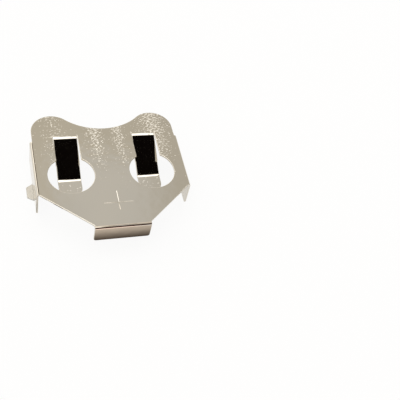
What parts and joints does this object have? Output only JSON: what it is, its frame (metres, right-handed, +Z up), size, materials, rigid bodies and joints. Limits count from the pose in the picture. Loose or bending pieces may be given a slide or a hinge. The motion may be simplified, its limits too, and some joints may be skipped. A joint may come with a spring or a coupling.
{
  "type": "coin cell holder",
  "caption": "Surface-mount coin cell retainer folded from one sheet: lobed plate, side flanges with solder feet, front stop and lanced spring fingers in round openings.",
  "frame": {"origin": "centre of the footprint box, on the board plane that the undersides of the feet lie in", "axes": "+Z up from the board to the plate; +Y back to the open side where the cell goes in, -Y to the front stop; +X to the right seen from the front"},
  "size_m": [0.0228, 0.02, 0.0048],
  "materials": {
    "nickel_sheet": "satin nickel plate over spring steel"
  },
  "bodies": {
    "root": {"retainer": "nickel_sheet"}
  },
  "joints": []
}
